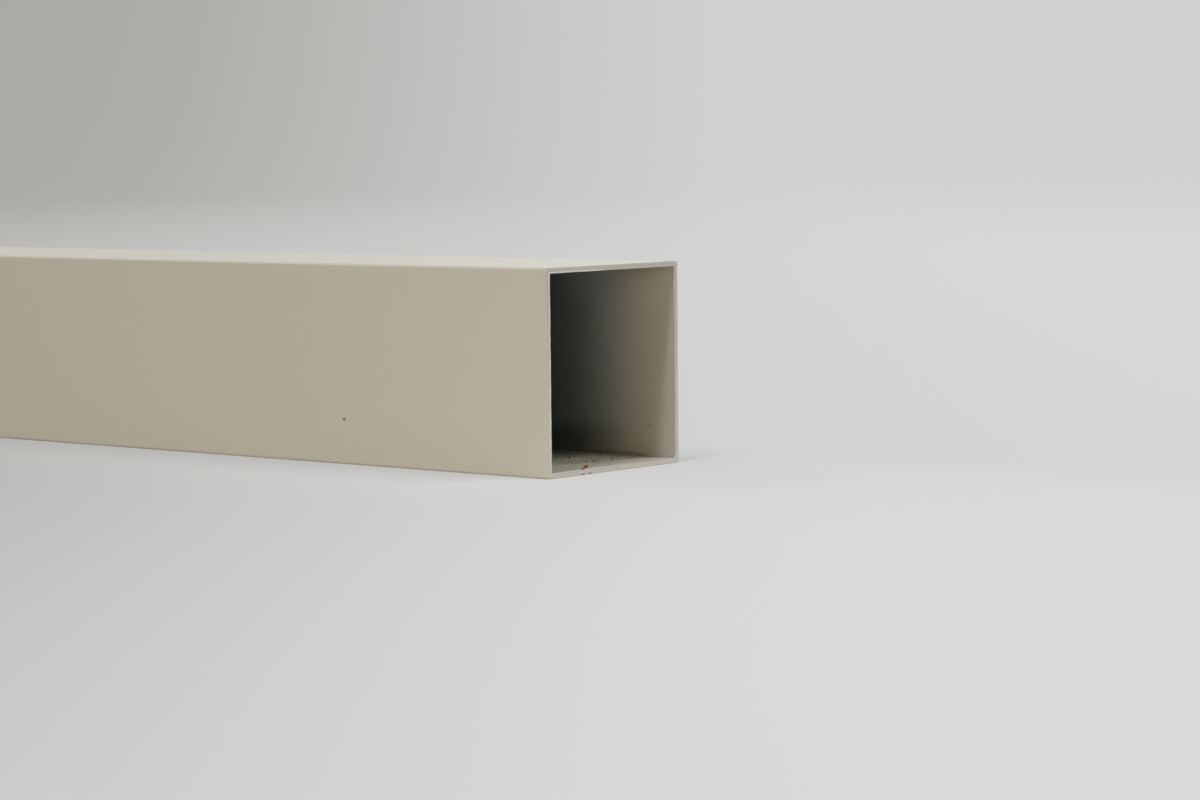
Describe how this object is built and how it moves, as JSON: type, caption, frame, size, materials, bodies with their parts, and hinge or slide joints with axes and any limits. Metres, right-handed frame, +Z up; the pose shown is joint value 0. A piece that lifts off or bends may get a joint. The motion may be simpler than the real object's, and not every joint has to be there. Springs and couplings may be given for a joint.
{
  "type": "square downpipe",
  "caption": "Length of square rainwater downpipe: extruded aluminium hollow section, powder-coated, sawn square at both ends.",
  "frame": {"origin": "middle of the pipe's underside, on the floor it lies on", "axes": "+X along the pipe towards the end that the picture shows, +Y across it away from the side that the picture shows, +Z up"},
  "size_m": [1, 0.08, 0.08],
  "materials": {
    "powder_coated_aluminium": "satin"
  },
  "bodies": {
    "root": {"square_downpipe": "powder_coated_aluminium"}
  },
  "joints": []
}
